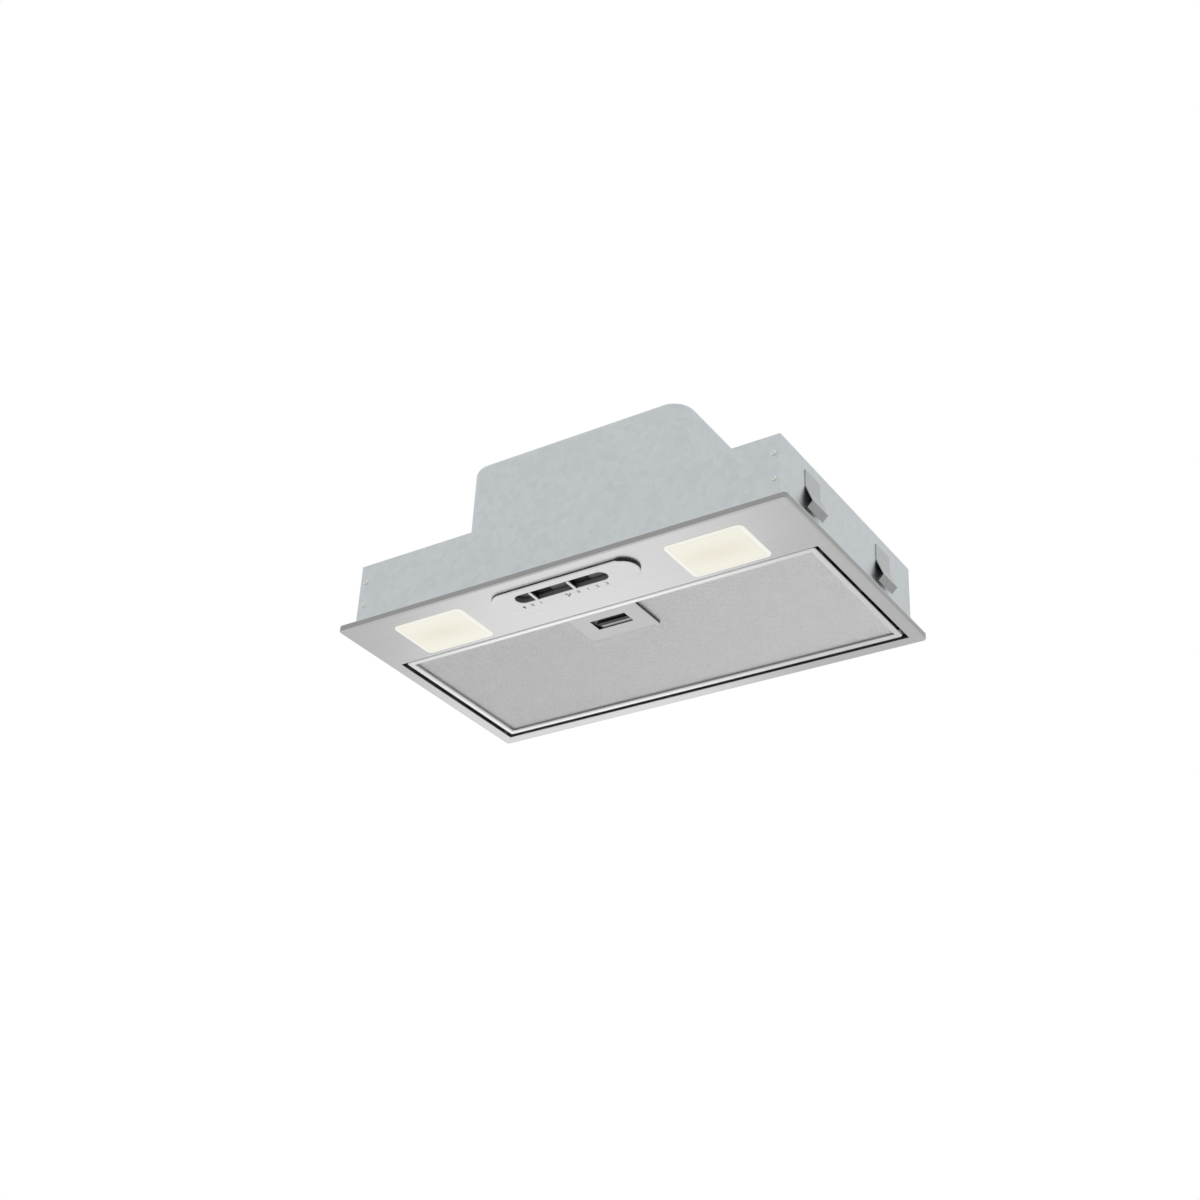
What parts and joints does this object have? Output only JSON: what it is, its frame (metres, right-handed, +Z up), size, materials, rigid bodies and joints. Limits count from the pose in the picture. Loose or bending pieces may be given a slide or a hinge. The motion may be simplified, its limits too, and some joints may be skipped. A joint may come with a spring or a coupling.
{
  "type": "built-in range hood",
  "caption": "Built-in range hood for a cabinet floor: steel fascia with lamps, slide switches and a drop-down grease filter, under a sheet-metal body with blower and round outlet.",
  "frame": {"origin": "centre of the cabinet cut-out, on the underside of the cabinet floor, which is the plane of the fascia's seat", "axes": "+X to the right as the cook sees it, +Y towards the wall, +Z up"},
  "size_m": [0.52, 0.3, 0.216],
  "materials": {
    "stainless": "fine brushed stainless steel, lengthways grain",
    "galvanised": "galvanised sheet with a faint spangle",
    "zinc": "bright zinc plate",
    "spring_steel": "plain spring steel",
    "black_plastic": "fine moulded texture",
    "scroll_plastic": "dark grey moulding",
    "light_plastic": "light grey silver-painted moulding",
    "motor_paint": "black lacquer",
    "steel": "ground steel",
    "rubber": "soft matt rubber",
    "lead_sheath": "grey flexible sheath",
    "aluminium": "bright satin aluminium",
    "filter_mesh": "fine expanded aluminium mesh",
    "filter_fleece": "loose aluminium fleece, mostly air",
    "lens": "frosted, lit from behind",
    "white_enamel": "white reflector enamel",
    "socket": "heat-proof white moulding",
    "bulb_glass": "pearl glass",
    "bulb_cap": "nickel-coloured cap",
    "capacitor_can": "off-white can"
  },
  "bodies": {
    "hood": {"fascia_panel": "stainless", "front_brackets": "galvanised", "body_wrap": "galvanised", "end_plate_left": "galvanised", "end_plate_right": "galvanised", "motor_cover": "galvanised", "motor_bracket": "galvanised", "capacitor_clip": "galvanised", "fascia_screws": "zinc", "shell_rivets": "zinc", "housing_screws": "zinc", "scroll_screws": "zinc", "motor_screws": "zinc", "flap_pin": "zinc", "side_clips": "spring_steel", "latch_catch": "spring_steel", "outlet_collar": "black_plastic", "switch_box": "black_plastic", "terminal_box": "black_plastic", "terminal_lid": "black_plastic", "cable_gland": "black_plastic", "pivot_bearings": "black_plastic", "scroll_left": "scroll_plastic", "scroll_right": "scroll_plastic", "control_bezel": "light_plastic", "motor_body": "motor_paint", "motor_bushes": "rubber", "motor_lead": "lead_sheath", "lamp_leads": "lead_sheath", "lamp_lens_left": "lens", "lamp_lens_right": "lens", "lamp_tray_left": "white_enamel", "lamp_tray_right": "white_enamel", "lamp_socket_left": "socket", "lamp_socket_right": "socket", "lamp_bulb_left": "bulb_glass", "lamp_bulb_right": "bulb_glass", "bulb_cap_left": "bulb_cap", "bulb_cap_right": "bulb_cap", "capacitor": "capacitor_can"},
    "fan": {"fan_wheel": "scroll_plastic", "motor_shaft": "steel", "hub_nut": "zinc"},
    "flap_l": {"flap_left": "black_plastic"},
    "flap_r": {"flap_right": "black_plastic"},
    "light_switch": {"light_slider": "black_plastic", "light_index": "light_plastic"},
    "speed_switch": {"speed_slider": "black_plastic", "speed_index": "light_plastic"},
    "filter": {"filter_frame": "aluminium", "filter_mesh_lower": "filter_mesh", "filter_pad": "filter_fleece", "filter_mesh_upper": "filter_mesh", "filter_pins": "steel", "latch_plate": "light_plastic", "latch_cover": "light_plastic"},
    "latch": {"latch_slider": "light_plastic", "latch_spring": "spring_steel"}
  },
  "joints": [
    {"name": "fan_spin", "type": "hinge", "parent": "hood", "child": "fan", "pos_m": [0, -0.039, 0.089], "axis": [1, 0, 0], "continuous": true},
    {"name": "flap_left_swing", "type": "hinge", "parent": "hood", "child": "flap_l", "pos_m": [0, 0, 0.18], "axis": [0, 1, 0], "range_deg": [0, 80]},
    {"name": "flap_right_swing", "type": "hinge", "parent": "hood", "child": "flap_r", "pos_m": [0, 0, 0.18], "axis": [0, -1, 0], "range_deg": [0, 80]},
    {"name": "filter_hinge", "type": "hinge", "parent": "hood", "child": "filter", "pos_m": [0, 0.126, -0.0017], "axis": [1, 0, 0], "range_deg": [0, 80], "deforming": ["latch_catch"]},
    {"name": "latch_pull", "type": "slide", "parent": "filter", "child": "latch", "axis": [0, 1, 0], "range_m": [0, 0.005], "stiffness_N_per_m": 300, "springref_m": -0.002, "deforming": ["latch_spring"]},
    {"name": "light_slide", "type": "slide", "parent": "hood", "child": "light_switch", "axis": [1, 0, 0], "range_m": [-0.01, 0]},
    {"name": "speed_slide", "type": "slide", "parent": "hood", "child": "speed_switch", "axis": [1, 0, 0], "range_m": [0, 0.033]}
  ]
}
